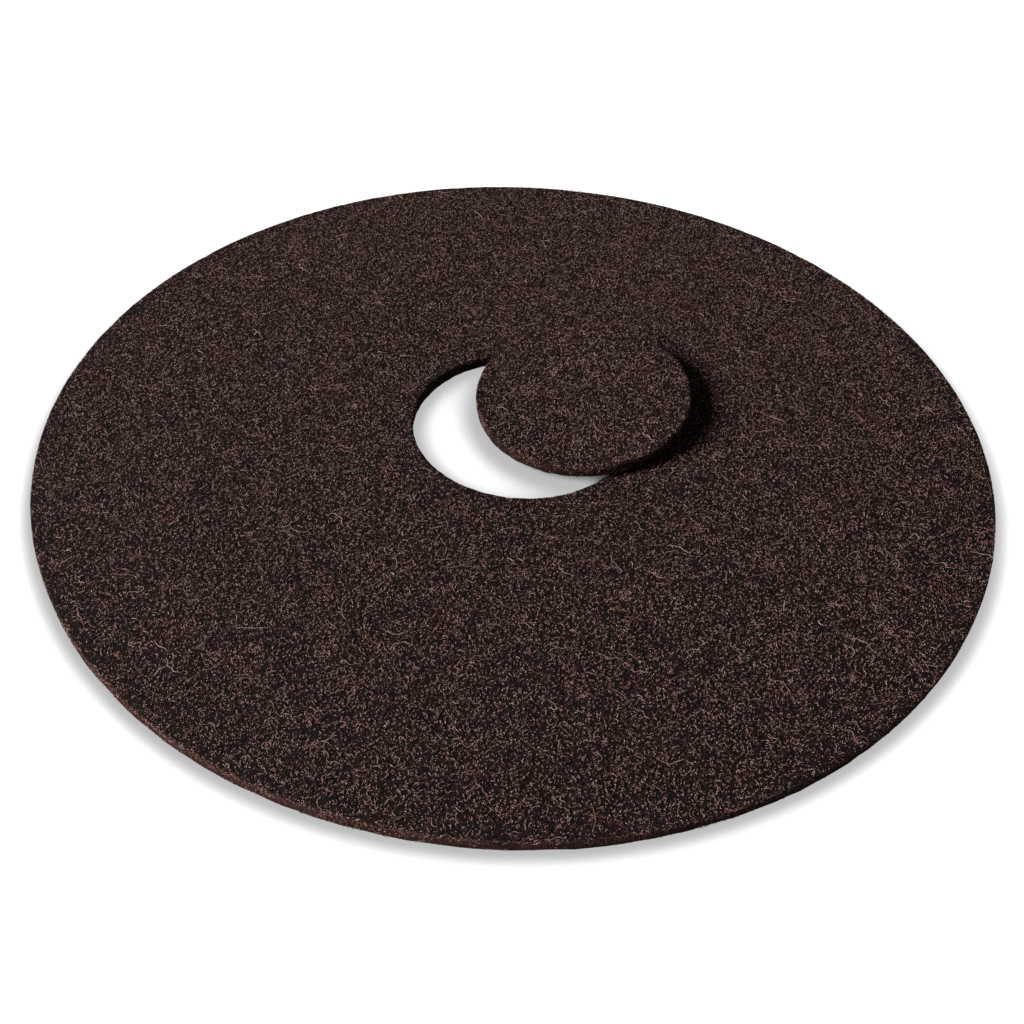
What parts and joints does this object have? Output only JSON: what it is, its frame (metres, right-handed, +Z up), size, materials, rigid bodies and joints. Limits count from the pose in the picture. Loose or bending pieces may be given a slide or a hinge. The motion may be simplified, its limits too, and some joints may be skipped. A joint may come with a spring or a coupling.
{
  "type": "floor polishing pad",
  "caption": "Thin round floor pad of brown non-woven fibre web with a centre hole, and the disc cut from that hole lying tilted over it.",
  "frame": {"origin": "centre of the pad's underside, on the surface that it lies on", "axes": "+Z up out of the pad's top face, -Y towards the viewer, +X to the viewer's right"},
  "size_m": [0.432, 0.432, 0.019],
  "materials": {
    "fibre_web": "matte, tangled dark brown fibres with redder cut edges",
    "plug_web": "matte, tangled dark brown fibres with redder cut edges"
  },
  "bodies": {
    "root": {"pad_ring": "fibre_web", "centre_plug": "plug_web"}
  },
  "joints": []
}
